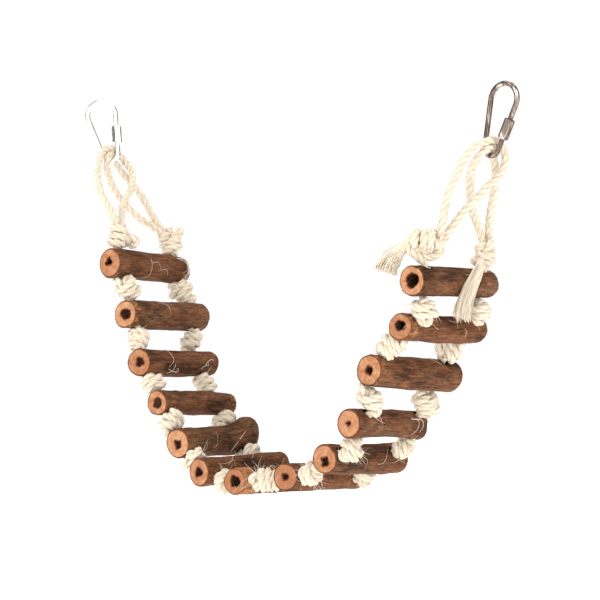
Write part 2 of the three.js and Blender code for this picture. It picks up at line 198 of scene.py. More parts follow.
def stacked(*parts):
    """Points from their coordinates, which may be numbers or arrays."""
    return np.stack(np.broadcast_arrays(*parts), -1)


# ---- Meshes --------------------------------------------------------------------------


def make_object(name, verts, faces, materials, attributes=None, face_material=None):
    """A smooth-shaded mesh object from points in millimetres."""
    mesh = bpy.data.meshes.new(name)
    mesh.from_pydata([tuple(v) for v in np.asarray(verts) * MM], [], faces)
    for material in materials:
        mesh.materials.append(material)
    for key, values in (attributes or {}).items():
        values = np.asarray(values, np.float32)
        if values.ndim == 2:
            mesh.attributes.new(key, "FLOAT_VECTOR", "POINT").data.foreach_set("vector", values.ravel())
        else:
            mesh.attributes.new(key, "FLOAT", "POINT").data.foreach_set("value", values)
    mesh.polygons.foreach_set("use_smooth", [True] * len(mesh.polygons))
    if face_material is not None:
        mesh.polygons.foreach_set("material_index", face_material)
    mesh.update()
    obj = bpy.data.objects.new(name, mesh)
    bpy.context.scene.collection.objects.link(obj)
    return obj


def tube_points(path, angle, radius):
    """A ring of points round each point of a path, at these angles and radii."""
    _, normal, side = frames_along(path)
    outward = np.cos(angle)[..., None] * normal[:, None] + np.sin(angle)[..., None] * side[:, None]
    return (path[:, None] + outward * radius[..., None]).reshape(-1, 3)


def tube_faces(rings, sides):
    """Quads between rings of the same number of points."""
    faces = []
    for r in range(rings - 1):
        a = r * sides
        b = a + sides
        for s in range(sides):
            n = (s + 1) % sides
            faces.append((a + s, a + n, b + n, b + s))
    return faces


def fan_faces(rings, sides):
    """Triangles that close a tube with two more points, its start's and then its end's."""
    start = rings * sides
    last = start - sides
    faces = []
    for s in range(sides):
        n = (s + 1) % sides
        faces += [(start, n, s), (start + 1, last + s, last + n)]
    return faces


def capped_faces(rings, sides):
    """The faces of a tube with a flat cap on each end."""
    last = (rings - 1) * sides
    return tube_faces(rings, sides) + [tuple(range(sides - 1, -1, -1)), tuple(range(last, last + sides))]


# ---- Rope ----------------------------------------------------------------------------

LAY = 17.0  # one turn of a strand round the rope
STRAND_SIDES = 11  # points across each of the three strands
RING_STEP = 0.55
STRAND_RADIUS = 0.60  # as shares of the rope's radius
STRAND_OFFSET = 0.40
YARNS_ACROSS = 2.6  # how fine the yarns' relief is, per millimetre
YARNS_ALONG = 0.32


def rope_section():
    """Angle, radius and height above the groove round a three-strand rope of radius 1."""
    angle = ring_angles(3 * STRAND_SIDES)
    local = (angle + np.pi / 3) % (2 * np.pi / 3) - np.pi / 3
    root = np.sqrt(np.maximum(STRAND_RADIUS**2 - (STRAND_OFFSET * np.sin(local)) ** 2, 0))
    radius = STRAND_OFFSET * np.cos(local) + root
    return angle, radius, np.cos(1.5 * local)


def rope_parts(path, diameter, seed, phase=0.0, end_taper=0.0):
    """Points, faces and attributes of a three-strand rope along an evenly spaced path."""
    angle, section, height = rope_section()
    sides, rings = len(angle), len(path)
    along = distance_along(path)
    size = np.broadcast_to(np.asarray(diameter, float) / 2, along.shape)
    turn = 2 * np.pi * along / LAY + phase
    theta = angle[None, :] + turn[:, None]
    radius = size[:, None] * section[None, :]
    # Yarns lie along the rope where they show, so the relief is long and thin that way.
    fibre = stacked(
        np.cos(theta) * size[:, None] * YARNS_ACROSS + seed * 3.1,
        np.sin(theta) * size[:, None] * YARNS_ACROSS,
        along[:, None] * YARNS_ALONG,
    )
    relief = noise(fibre, seed) * 0.09 + noise(fibre * 2.1, seed + 5) * 0.05
    lumps = noise(fibre * [0.25, 0.25, 0.6], seed + 9) * 0.10
    radius = radius + relief + lumps
    if end_taper:
        radius = radius * (0.35 + 0.65 * smoothstep(along[-1] - along, 0, end_taper))[:, None]
    verts = np.vstack([tube_points(path, theta, radius), path[0], path[-1]])
    faces = tube_faces(rings, sides) + fan_faces(rings, sides)
    # crease is each point's height above the groove; the sisal material turns it into painted shade in the
    # grooves.
    crease = np.concatenate([np.broadcast_to(height, theta.shape).ravel(), [0.5, 0.5]])
    coords = np.vstack([fibre.reshape(-1, 3), fibre[0, 0], fibre[-1, 0]])
    return verts, faces, {"crease": crease, "fibre": coords}


def merge_parts(parts):
    """Several (points, faces, attributes) as one."""
    verts, faces, attributes, first = [], [], {}, 0
    for v, f, a in parts:
        verts.append(v)
        faces.extend(tuple(i + first for i in face) for face in f)
        for key in a:
            attributes.setdefault(key, []).append(a[key])
        first += len(v)
    return np.vstack(verts), faces, {k: np.concatenate(v) for k, v in attributes.items()}


def hair_parts(path, radius, seed, sides=4, thinning=0.75):
    """One loose fibre: a thin tapering tube along a path."""
    part = np.linspace(0, 1, len(path))
    size = radius * (1 - thinning * part**2)
    verts = tube_points(path, ring_angles(sides), size[:, None])
    coords = np.repeat(np.array([[seed * 1.7, seed * 0.6, 0]]), len(verts), axis=0)
    coords[:, 2] = np.repeat(part * 3, sides)
    # crease gives each fibre a slight, random share of the sisal's painted groove shade.
    crease = np.full(len(verts), 0.75 + 0.25 * math.sin(seed))
    return verts, capped_faces(len(path), sides), {"crease": crease, "fibre": coords}


# ---- Knots ---------------------------------------------------------------------------

CONTACT = 4.35  # how close two turns of rope come, centre to centre
LOOSE_RADIUS = 4.9  # of the turns before they are drawn tight
LOOSE_HALF_LENGTH = 2.35  # for each turn
LOOSE_STEP = 0.85
TIGHTER = 0.98  # the rope's step after drawing tight, as a share of the loose one
ROUNDS = 70
PULLS = 12  # length corrections in a round
PINNED = 4  # points at each end that stay where they are
IN_HOLE = 9.5  # how far a knot's ends reach into the logs


def wrapped_knot(turns, radius, mirrored):
    """A loose double overhand along X: the rope runs in, turns back round itself and runs
    out through its own turns."""
    half = LOOSE_HALF_LENGTH * turns
    angle = np.linspace(0, 2 * np.pi * turns, int(20 * turns))
    back = half - 2 * half * angle / angle[-1]
    coil = stacked(back, radius * np.cos(angle), radius * np.sin(angle))
    last = np.array([0, math.cos(angle[-1]), math.sin(angle[-1])])
    before = [
        (-half - 6, 0, 0), (-half - 2, -0.6, 0), (0, -1.7, 0), (half + 0.6, -1.0, 0),
        (half + 2.4, radius * 0.55, -1.2),
    ]
    inward = [(-half - 2.2, 0, 0) + last * radius * 0.55]
    after = [(-half + 0.5, 1.2, 0), (0, 1.9, 0), (half + 2, 0.9, 0), (half + 6, 0, 0)]
    path = np.vstack([before, coil, inward, after])
    return path * ([1, 1, -1] if mirrored else [1, 1, 1])


def relax(path, spacing, rounds, pinned, push):
    """Pulls a rope tight: even spacing along it, and turns that never come closer than contact."""
    p = path.copy()
    count = len(p)
    index = np.arange(count)
    apart = np.abs(index[:, None] - index[None, :])
    free = np.ones(count)
    free[:pinned] = 0
    free[count - pinned :] = 0
    for i in range(rounds):
        step = spacing * (1 - 0.10 * i / rounds)
        least = CONTACT * np.sin(np.minimum(apart * step / CONTACT, np.pi / 2))
        for _ in range(PULLS):
            delta = p[1:] - p[:-1]
            length = np.linalg.norm(delta, axis=1)
            change = delta * ((length - step) / np.maximum(length, 1e-6) * 0.5)[:, None]
            move = np.zeros_like(p)
            move[:-1] += change
            move[1:] -= change
            p += move * 0.9 * free[:, None]
        d = p[:, None] - p[None, :]
        distance = np.linalg.norm(d, axis=2) + np.eye(count)
        short = np.where(apart > 2, np.maximum(least - distance, 0), 0)
        away = (d / distance[..., None] * short[..., None]).sum(axis=1)
        hits = np.maximum((short > 0).sum(axis=1), 1)
        p += away / hits[:, None] * 0.75 * free[:, None]
        smooth = np.zeros_like(p)
        smooth[1:-1] = (p[2:] + p[:-2]) / 2 - p[1:-1]
        p += smooth * 0.12 * free[:, None]
        drift = push(p)
        p -= drift * (free * smoothstep(np.minimum(index, index[::-1]), 2, 20))[:, None]
    return p


def settle_knot(
    start, start_way, end, end_way, centre, spin, mirrored, rungs, turns, axis, inside=(IN_HOLE, IN_HOLE)
):
    """Centreline of a rope that leaves start along start_way, is knotted about centre with its
    knot along axis, and reaches end along end_way. rungs are (point, axis, radius) of the logs
    it lies against, and inside is how far the path goes on beyond start and end."""
    axis = unit(axis)
    up = unit(np.cross(axis, [0.13, 0.99, 0.2]))
    side = np.cross(axis, up)
    turned = math.cos(spin) * up + math.sin(spin) * side
    across = np.cross(axis, turned)
    core = wrapped_knot(turns, LOOSE_RADIUS, mirrored)
    knot = centre + core[:, :1] * axis + core[:, 1:2] * turned + core[:, 2:] * across
    lead_in = [start - start_way * inside[0], start - start_way * inside[0] / 2, start]
    lead_out = [end, end + end_way * inside[1] / 2, end + end_way * inside[1]]
    whole = smooth_path(np.vstack([lead_in, knot, lead_out]), LOOSE_STEP)
    step = path_length(whole) / (len(whole) - 1)
    in_holes = [int((reach + 1.5) / LOOSE_STEP) for reach in inside]

    def drift(p):
        """How far each point is to be moved back: towards the centre, and out of the logs."""
        move = np.zeros_like(p)
        middle = p[len(p) // 4 : -len(p) // 4].mean(axis=0) - centre
        move += middle * 0.08
        for point, way, radius in rungs:
            out = p - point
            out -= (out @ way)[:, None] * way
            distance = np.linalg.norm(out, axis=1)
            inside_by = np.maximum(radius + ROPE * 0.42 - distance, 0)
            inside_by[: in_holes[0]] = 0
            inside_by[len(p) - in_holes[1] :] = 0
            move -= unit(out + 1e-9) * np.minimum(inside_by, 0.5)[:, None] * 0.6
        return move

    return resample(relax(whole, step * TIGHTER, ROUNDS, PINNED, drift), RING_STEP)


# ---- Where the rungs are -------------------------------------------------------------


def place_rungs():
    places = []
    x, z = FIRST_RUNG
    for k in range(RUNGS):
        before = HEADING_IN if k == 0 else HEADING[k - 1]
        after = HEADING_OUT if k == RUNGS - 1 else HEADING[k]
        heading = math.radians((before + after) / 2)
        yaw, tilt = math.radians(RUNG_YAW[k]), math.radians(RUNG_TILT[k])
        level = math.cos(tilt)
        places.append({
            "middle": np.array([x, RUNG_SHIFT[k], z], float),
            "way": np.array([math.sin(yaw) * level, math.cos(yaw) * level, math.sin(tilt)]),
            "through": np.array([math.cos(heading), 0, math.sin(heading)]),
            "radius": RUNG_DIAMETER[k] / 2,
        })
        if k < RUNGS - 1:
            x += PITCH[k] * math.cos(math.radians(HEADING[k]))
            z += PITCH[k] * math.sin(math.radians(HEADING[k]))
    return places


PLACES = place_rungs()


def rope_hole(rung, rope_y):
    """Where a rope's centreline crosses the middle of a rung."""
    return rung["middle"] + rung["way"] * ((rope_y - rung["middle"][1]) / rung["way"][1])


# ---- Materials -----------------------------------------------------------------------


class Nodes:
    """A small helper for building the nodes of a material, or of a world."""

    def __init__(self, owner, shader="Principled BSDF"):
        owner.use_nodes = True
        self.owner = owner
        self.tree = owner.node_tree
        self.shader = self.tree.nodes[shader]

    def add(self, kind, **settings):
        node = self.tree.nodes.new(kind)
        for key, value in settings.items():
            setattr(node, key, value)
        return node

    def put(self, socket, value):
        """Gives a socket a number or a colour, or joins another node's output to it."""
        if isinstance(value, (int, float)):
            socket.default_value = value
        elif isinstance(value, tuple):
            socket.default_value = (*value, 1)
        else:
            self.tree.links.new(value, socket)

    def set(self, name, value):
        self.put(self.shader.inputs[name], value)

    def surface(self, colour, roughness, specular):
        self.set("Base Color", colour)
        self.set("Roughness", roughness)
        self.set("Specular IOR Level", specular)

    def vector(self, name):
        return self.add("ShaderNodeAttribute", attribute_name=name).outputs["Vector"]

    def value(self, name):
        return self.add("ShaderNodeAttribute", attribute_name=name).outputs["Fac"]

    def noise(self, vector, scale, detail=3.0, roughness=0.55, stretch=(1, 1, 1), distortion=0.0):
        mapping = self.add("ShaderNodeMapping")
        mapping.inputs["Scale"].default_value = stretch
        self.put(mapping.inputs["Vector"], vector)
        node = self.add("ShaderNodeTexNoise")
        self.put(node.inputs["Scale"], scale)
        self.put(node.inputs["Detail"], detail)
        self.put(node.inputs["Roughness"], roughness)
        self.put(node.inputs["Distortion"], distortion)
        self.put(node.inputs["Vector"], mapping.outputs[0])
        return node.outputs[0]

    def ramp(self, value, stops):
        node = self.add("ShaderNodeValToRGB")
        elements = node.color_ramp.elements
        while len(elements) < len(stops):
            elements.new(0.5)
        for element, (position, colour) in zip(elements, stops):
            element.position = position
            element.color = (*colour, 1)
        self.put(node.inputs[0], value)
        return node.outputs[0]

    def mix(self, factor, a, b, blend="MIX"):
        node = self.add("ShaderNodeMix", data_type="RGBA", blend_type=blend)
        for socket, value in ((node.inputs[0], factor), (node.inputs[6], a), (node.inputs[7], b)):
            self.put(socket, value)
        return node.outputs[2]

    def shade(self, colour, by, share=1.0):
        return self.mix(share, colour, by, "MULTIPLY")

    def math(self, operation, a, b=0.5, c=0.5):
        node = self.add("ShaderNodeMath", operation=operation)
        for socket, value in zip(node.inputs, (a, b, c)):
            self.put(socket, value)
        return node.outputs[0]

    def times(self, a, b):
        return self.math("MULTIPLY", a, b)

    def plus(self, a, b):
        return self.math("ADD", a, b)

    def bump(self, height, distance, strength):
        """Gives the shader's surface fine relief."""
        node = self.add("ShaderNodeBump")
        self.put(node.inputs["Strength"], strength)
        self.put(node.inputs["Distance"], distance)
        self.put(node.inputs["Height"], height)
        self.set("Normal", node.outputs[0])


def grey(v):
    return (v, v, v)


def bark_material():
    n = Nodes(bpy.data.materials.new("bark"))
    grain = n.vector("grain")
    relief = n.value("relief")
    tone = n.value("tone")
    streaks = n.noise(grain, 1.1, 6, 0.62, (1, 1, 0.10), 0.6)
    fine = n.noise(grain, 3.4, 4, 0.6, (1, 1, 0.22))
    patches = n.noise(grain, 0.16, 3, 0.5, (1, 1, 0.45), 0.8)
    spots = n.noise(grain, 0.55, 4, 0.6, (1, 1, 0.5))
    brown = n.ramp(streaks, [
        (0.28, (0.046, 0.018, 0.008)), (0.46, (0.110, 0.043, 0.019)),
        (0.60, (0.170, 0.070, 0.032)), (0.78, (0.285, 0.140, 0.068)),
    ])
    olive = n.ramp(streaks, [
        (0.28, (0.050, 0.024, 0.012)), (0.48, (0.118, 0.060, 0.030)),
        (0.64, (0.185, 0.105, 0.056)), (0.80, (0.300, 0.195, 0.110)),
    ])
    red = n.ramp(fine, [(0.3, (0.100, 0.034, 0.015)), (0.7, (0.260, 0.105, 0.048))])
    greyness = n.plus(n.times(patches, 1.15), n.times(tone, 0.5))
    colour = n.mix(n.ramp(greyness, [(0.62, grey(0)), (0.84, grey(1))]), brown, olive)
    colour = n.mix(n.ramp(spots, [(0.53, grey(0)), (0.70, grey(0.75))]), colour, red)
    # Painted shade: the bark is darkened in its cracks, where the relief is low, and lightened on its ridges
    # as wear.
    crack_shade_and_ridge_wear = n.ramp(relief, [(0.16, grey(0.42)), (0.40, grey(0.86)), (0.62, grey(1.0)), (0.88, grey(1.25))])
    colour = n.shade(colour, crack_shade_and_ridge_wear)
    blotches = n.noise(grain, 0.34, 4, 0.6, (1, 1, 0.32), 0.5)
    blotch = n.ramp(blotches, [(0.32, (0.62, 0.60, 0.60)), (0.50, grey(1)), (0.70, (1.24, 1.20, 1.12))])
    colour = n.shade(colour, blotch)
    speckle = n.ramp(fine, [(0.34, grey(0.70)), (0.5, grey(1)), (0.66, grey(1.18))])
    colour = n.shade(colour, speckle, 0.8)
    # Where the dark outer bark has come off, the orange layer under it shows.
    under = n.ramp(streaks, [(0.3, (0.200, 0.070, 0.024)), (0.7, (0.520, 0.235, 0.095))])
    off = n.plus(n.value("bare"), n.times(n.math("SUBTRACT", spots, 0.5), 0.9))
    colour = n.mix(n.ramp(off, [(0.45, grey(0)), (0.62, grey(0.85))]), colour, under)
    n.surface(colour, n.ramp(fine, [(0.3, grey(0.92)), (0.7, grey(0.68))]), 0.12)
    height = n.plus(n.times(streaks, 0.8), n.times(fine, 0.35))
    n.bump(height, 0.0006, 0.75)
    return n.owner


def end_grain_material():
    n = Nodes(bpy.data.materials.new("end_grain"))
    grain = n.vector("grain")
    rim = n.value("rim")
    tone = n.value("tone")
    wobble = n.noise(grain, 0.5, 3, 0.5, (1, 1, 0))
    cloud = n.noise(grain, 0.22, 3, 0.55, (1, 1, 0), 1.0)
    fine = n.noise(grain, 6.0, 4, 0.65, (1, 1, 0.3))
    rings = n.math("SINE", n.plus(n.times(rim, 46), n.times(wobble, 5)))
    wood = n.ramp(n.plus(n.times(cloud, 0.8), n.times(tone, 0.35)), [
        (0.28, (0.380, 0.150, 0.064)), (0.50, (0.530, 0.252, 0.122)), (0.72, (0.680, 0.390, 0.222)),
    ])
    wood = n.shade(wood, n.ramp(rings, [(0.0, grey(0.62)), (1.0, grey(1.1))]), 0.22)
    wood = n.shade(wood, n.ramp(fine, [(0.32, grey(0.55)), (0.6, grey(1.1))]), 0.35)
    edge = n.plus(rim, n.times(n.math("SUBTRACT", fine, 0.5), 0.05))
    # Darker at the pith hole's edge as painted shade of the hollow; the dark band at the outer edge is the
    # bark's own thin rim.
    shade = n.ramp(edge, [
        (0.0, (0.10, 0.045, 0.025)), (0.10, (0.42, 0.24, 0.16)), (0.22, grey(0.94)), (0.86, grey(1.0)),
        (0.915, (0.60, 0.42, 0.33)), (0.945, (0.24, 0.15, 0.11)), (1.0, (0.20, 0.13, 0.10)),
    ])
    n.surface(n.shade(wood, shade), 0.78, 0.3)
    height = n.plus(n.times(fine, 0.7), n.times(rings, 0.12))
    n.bump(height, 0.0003, 0.6)
    return n.owner


def pith_material():
    n = Nodes(bpy.data.materials.new("pith_hole"))
    grain = n.vector("grain")
    rough = n.noise(grain, 1.6, 5, 0.65, (1, 1, 0.4))
    # The pith's own dark brown, darkened further as painted shade of the hollow's depth.
    colour = n.ramp(rough, [
        (0.32, (0.012, 0.005, 0.003)), (0.52, (0.048, 0.019, 0.009)), (0.72, (0.200, 0.088, 0.042)),
    ])
    n.surface(colour, 0.95, 0.15)
    n.bump(rough, 0.0006, 0.9)
    return n.owner


def sisal_material():
    n = Nodes(bpy.data.materials.new("sisal"))
    fibre = n.vector("fibre")
    crease = n.value("crease")
    yarn = n.noise(fibre, 1.0, 5, 0.62, (1, 1, 0.55))
    fine = n.noise(fibre, 3.2, 3, 0.6, (1, 1, 0.35))
    cloud = n.noise(fibre, 0.16, 3, 0.5, (1, 1, 1.6))
    pale = n.ramp(yarn, [
        (0.26, (0.540, 0.405, 0.255)), (0.42, (0.690, 0.590, 0.445)),
        (0.56, (0.775, 0.705, 0.590)), (0.78, (0.860, 0.815, 0.730)),
    ])
    tan = n.ramp(yarn, [(0.3, (0.480, 0.285, 0.125)), (0.7, (0.780, 0.600, 0.380))])
    colour = n.mix(n.ramp(cloud, [(0.56, grey(0)), (0.78, grey(0.75))]), pale, tan)
    # Painted shade: the rope is darkened and warmed in the grooves between its strands, where crease is low.
    painted_groove_shade = n.ramp(crease, [
        (0.0, (0.66, 0.48, 0.31)), (0.14, (0.84, 0.72, 0.58)), (0.38, (0.98, 0.96, 0.93)), (1.0, grey(1.0)),
    ])
    colour = n.shade(colour, painted_groove_shade, 0.85)
    colour = n.shade(colour, n.ramp(fine, [(0.34, grey(0.70)), (0.58, grey(1.08))]), 0.45)
    n.surface(colour, 0.82, 0.25)
    n.set("Sheen Weight", 0.15)
    n.set("Sheen Roughness", 0.45)
    height = n.plus(n.times(yarn, 0.8), n.times(fine, 0.4))
    n.bump(height, 0.0005, 0.8)
    return n.owner


def nickel_material(name, stops, low, high):
    """Bright plating, mottled between the stops' colours, and from low to high in roughness. For the darker
    link the stops are painted reflections.
    """
    n = Nodes(bpy.data.materials.new(name))
    place = n.add("ShaderNodeTexCoord").outputs["Object"]
    streak_mottle = n.noise(place, 330, 4, 0.6, (1, 1, 0.12), 0.6)
    scratches = n.noise(place, 900, 3, 0.6, (1, 1, 0.08))
    n.set("Base Color", n.ramp(streak_mottle, stops))
    n.set("Metallic", 1.0)
    n.set("Roughness", n.ramp(scratches, [(0.35, grey(low)), (0.75, grey(high))]))
    n.bump(scratches, 0.00003, 0.25)
    return n.owner


BARK = bark_material()
END_GRAIN = end_grain_material()
PITH = pith_material()
SISAL = sisal_material()
BRIGHT_STOPS = [(0.30, (0.74, 0.70, 0.66)), (0.50, (0.95, 0.94, 0.92))]
# The darker link's stops are painted reflections: dark brown to near white, standing in for the room its
# metal mirrors.
PAINTED_REFLECTION_STOPS = [(0.42, (0.12, 0.082, 0.062)), (0.54, (0.27, 0.21, 0.175)), (0.66, (0.80, 0.77, 0.74))]
BRIGHT = nickel_material("nickel_bright", BRIGHT_STOPS, 0.08, 0.18)
DARK = nickel_material("nickel_painted_reflections", PAINTED_REFLECTION_STOPS, 0.10, 0.22)

# ---- Rungs ---------------------------------------------------------------------------

AROUND = 132
ALONG = 150
FACE_ROWS = 16
HOLE_ROWS = 6
# Pith holes at the near ends and the far ends: mean radius, lobes, raggedness, depth. How
# far up and to +X the near ones are off centre follows.
NEAR_PITH = [
    (2.4, 3, 0.50, 6), (4.0, 2, 0.26, 7), (2.8, 3, 0.40, 6), (3.2, 4, 0.20, 6), (2.7, 3, 0.42, 6),
    (2.9, 3, 0.34, 6), (3.7, 2, 0.46, 7), (1.9, 3, 0.34, 5), (2.7, 4, 0.50, 6), (1.1, 3, 0.60, 3),
    (2.3, 4, 0.28, 6), (3.2, 2, 0.34, 12.5), (4.1, 3, 0.26, 13),
]
NEAR_PITH_AT = [
    (1.2, -0.8), (0, 0.4), (0.3, 0.3), (0, 0.3), (-0.5, 0.2), (0, 0), (0, 0.6), (0.2, 0.2),
    (-1.5, 0.3), (0.2, 0), (0, 0), (0.9, -0.2), (0.2, 0.3),
]
FAR_PITH = [
    (2.0, 3, 0.3, 7), (3.2, 3, 0.25, 8), (2.2, 2, 0.3, 7), (2.7, 3, 0.3, 8), (2.4, 4, 0.3, 7),
    (2.0, 3, 0.35, 7), (2.8, 2, 0.3, 8), (1.8, 3, 0.3, 6), (2.6, 3, 0.3, 8), (2.0, 3, 0.3, 7),
    (2.2, 4, 0.25, 7), (2.7, 3, 0.3, 8), (3.3, 3, 0.2, 9),
]
# How grey each log is, and how much thinner at its far end
TONE = [-0.05, 0.22, -0.25, 0.05, 0.30, -0.05, -0.45, -0.35, 0.0, 0.12, 0.02, -0.18, 0.18]
TAPER = [0.02, -0.01, 0.03, 0.02, -0.03, 0.02, 0.0, 0.03, -0.02, 0.05, 0.0, 0.02, 0.03]
# Scars of twigs: how far from a log's near end, and how big
SCARS = [
    (52, 4.0), (30, 3.0), (64, 3.5), (20, 2.6), (40, 3.2), (58, 2.8), (34, 3.0), (50, 2.6), (66, 4.0),
    (46, 3.4), (28, 3.0), (60, 3.0), (38, 2.8),
]
# Logs whose far end is flared by the stub of a side branch: its direction, its height, and
# how far from the end it starts and is full
FLARES = {4: (0.35, 5.4, 20, 5), 9: (3.0, 1.5, 16, 4)}
# Logs whose outer bark has come off near an end: which end, how far in, how fully
BARE = {6: (-1, 15, 0.62), 3: (1, 9, 0.5), 10: (-1, 8, 0.45), 1: (-1, 7, 0.5), 11: (-1, 9, 0.5)}
BARK_ZONE, FACE_ZONE, PITH_ZONE = 0, 1, 2  # also the order of a log's materials


def log_frame(rung):
    """The ways up from, sideways from and along a log."""
    along = rung["way"]
    up = np.array([0, 0, 1.0])
    up = unit(up - (up @ along) * along)
    return up, np.cross(along, up), along


def bark_relief(theta, z, radius, k):
    """Height of the bark in mm, at angles and distances along a log."""
    x, y = np.cos(theta) * radius, np.sin(theta) * radius
    shift = 31.7 * k

    def layer(across, lengthwise, seed, shift_x=shift, shift_y=0.0):
        return noise(stacked(x * across + shift_x, y * across + shift_y, z * lengthwise), seed)

    swell = layer(0.10, 0.055, 3) * 0.42
    lumps = layer(0.32, 0.11, 5) * 0.22
    ridges = layer(0.95, 0.09, 7) * 0.16
    fibres = layer(2.1, 0.16, 9) * 0.09
    grit = layer(2.4, 1.5, 11, 0.0, shift) * 0.06
    crack = np.abs(layer(0.62, 0.07, 13, 0.0, shift))
    where = smoothstep(layer(0.15, 0.05, 15, 0.0, shift), -0.25, 0.35)
    cracks = -0.42 * (1 - smoothstep(crack, 0.0, 0.085)) * where
    flake = smoothstep(layer(0.20, 0.10, 19), 0.18, 0.26) * 0.16
    return swell + lumps + ridges + fibres + grit + cracks + flake


def pith_outline(theta, spec, seed, shift):
    radius, lobes, ragged, _ = spec
    ring = stacked(np.cos(theta), np.sin(theta), 0.0)
    wobble = noise(ring * 1.3 + seed * 7.3, 23) * 0.8 + noise(ring * 3.6 + seed * 3.1, 29) * 0.45
    star = np.cos(lobes * (theta + seed * 1.3)) * (0.4 + 0.6 * noise(ring * 0.9 + seed * 5.7, 33))
    size = np.maximum(radius * (1 + ragged * (star + wobble)), 0.35)
    return np.cos(theta) * size + shift[0], np.sin(theta) * size + shift[1]


def log_side(k, theta, z):
    """Points of a log's side, up and sideways from its middle, and the height of its bark, on
    a grid of distances and angles."""
    radius, half = PLACES[k]["radius"], z[-1]
    tt, zz = np.meshgrid(theta, z)
    relief = bark_relief(tt, zz, radius, k)
    height = relief.copy()
    scar_at, scar_size = SCARS[k]
    scar_turn = 1.9 * k + 0.8
    around = np.abs((tt - scar_turn + np.pi) % (2 * np.pi) - np.pi) * radius
    far_from_scar = np.hypot(around, zz - (scar_at - half)) / scar_size
    height += 0.9 * np.exp(-(far_from_scar**2)) - 0.7 * np.exp(-((far_from_scar / 0.45) ** 2))
    if k in FLARES:
        direction, tall, starts, full = FLARES[k]
        out = np.maximum(np.cos(tt - direction), 0) ** 2
        height += tall * out * smoothstep(zz, half - starts, half - full)
    rim = half - np.abs(zz)
    chips = 0.5 + 0.5 * noise(stacked(np.cos(tt) * 3, np.sin(tt) * 3, np.sign(zz) * 2 + k), 31)
    height -= (0.25 + 0.45 * chips) * (1 - smoothstep(rim, 0, 0.9))
    base = radius * (1 - TAPER[k] * zz / half) - 0.25
    oval = 1 + 0.025 * np.cos(2 * (tt - 0.7 * k))
    size = base * oval + height
    bend = 0.55 * math.sin(2.1 * k + 1) * (1 - (zz / half) ** 2)
    sway = 0.45 * math.cos(1.7 * k) * (1 - (zz / half) ** 2)
    return np.cos(tt) * size + bend, np.sin(tt) * size + sway, relief


def end_rows(k, sign, theta, half, outer_x, outer_y):
    """Rows from the bottom of an end's pith hole out to the edge of its face, each with its
    zone, its place between hole and edge, and its height of relief."""
    if sign < 0:
        name, spec, shift, seed = "near", NEAR_PITH[k], NEAR_PITH_AT[k], k
    else:
        name, spec, seed = "far", FAR_PITH[k], k + 40
        shift = (0.5 * math.cos(3.0 * k), 0.5 * math.sin(3.0 * k))
    hole_x, hole_y = pith_outline(theta, spec, seed, shift)
    depth = spec[3]
    if k < RUNGS - 2:  # the pith is blocked just in front of the rope
        to_rope = abs(PLACES[k]["middle"][1] + sign * half - ROPE_Y[name])
        depth = min(depth, to_rope - ROPE_HOLE / 2 - 0.5)
    rows = []
    for j in range(HOLE_ROWS):
        part = 1 - j / HOLE_ROWS  # 1 at the bottom
        narrow = 1 - 0.30 * part + 0.14 * noise(stacked(np.cos(theta), np.sin(theta), part * 2 + k) * 2.2, 37)
        x = shift[0] + (hole_x - shift[0]) * narrow
        y = shift[1] + (hole_y - shift[1]) * narrow
        rows.append((x, y, sign * (half - depth * part - 0.15), PITH_ZONE, 0.0, 0.3))
    for j in range(FACE_ROWS):
        t = j / (FACE_ROWS - 1)
        x = hole_x * (1 - t) + outer_x * t
        y = hole_y * (1 - t) + outer_y * t
        rough = noise(stacked(x * 0.9, y * 0.9, k), 41) * 0.10
        saw = noise(stacked(x * 0.25, y * 2.5, k + 5), 43) * 0.05
        chip = 0.35 * (1 - smoothstep(t, 0.0, 0.12))
        fade = 1 - smoothstep(t, 0.93, 1.0)
        rows.append((x, y, sign * (half + (rough + saw) * fade - chip), FACE_ZONE, 0.02 + 0.98 * t, 0.5))
    return rows


def strip_zone(a, b):
    """The material between two rows: pith before the others, and bark before the face."""
    return PITH_ZONE if PITH_ZONE in (a, b) else min(a, b)


def build_rung(k):
    rung = PLACES[k]
    up, side, along = log_frame(rung)
    half = RUNG_LENGTH[k] / 2
    theta = ring_angles(AROUND)
    z = np.linspace(-half, half, ALONG)
    x, y, relief = log_side(k, theta, z)
    # The bark's height, 0 in its cracks to 1 on its ridges, goes into the relief attribute, from which the
    # bark material paints shade into the cracks.
    bark = np.clip((relief + 0.45) / 0.9, 0, 1)
    rows = end_rows(k, -1, theta, half, x[0], y[0])
    rows += [(x[j], y[j], z[j], BARK_ZONE, 1.0, bark[j]) for j in range(1, ALONG - 1)]
    rows += reversed(end_rows(k, 1, theta, half, x[-1], y[-1]))
    columns = [np.concatenate([np.broadcast_to(row[i], AROUND) for row in rows]) for i in (0, 1, 2, 4, 5)]
    local = np.stack(columns[:3], -1)
    bare = np.zeros(len(local))
    if k in BARE:
        sign, reach, strength = BARE[k]
        bare = strength * (1 - smoothstep(half - sign * local[:, 2], reach * 0.6, reach))
    local = np.vstack([local, local[:AROUND].mean(axis=0), local[-AROUND:].mean(axis=0)])
    faces = tube_faces(len(rows), AROUND) + fan_faces(len(rows), AROUND)
    faces = [tuple(reversed(face)) for face in faces]
    zones = []
    for this, following in zip(rows[:-1], rows[1:]):
        zones += [strip_zone(this[3], following[3])] * AROUND
    zones += [PITH_ZONE] * (2 * AROUND)
    world = rung["middle"] + local[:, :1] * up + local[:, 1:2] * side + local[:, 2:] * along
    attributes = {
        "grain": local + [k * 23.0, k * 11.0, k * 41.0],
        "rim": np.append(columns[3], [0, 0]),
        "relief": np.append(columns[4], [0.2, 0.2]),
        "tone": np.full(len(local), TONE[k]),
        "bare": np.append(bare, [0, 0]),
    }
    obj = make_object(f"log_{k + 1:02d}", world, faces, [BARK, END_GRAIN, PITH], attributes, zones)
    for rope_y in ROPE_Y.values():
        drill(obj, rope_hole(rung, rope_y), rung["through"], rung["radius"] + 4)
    return obj


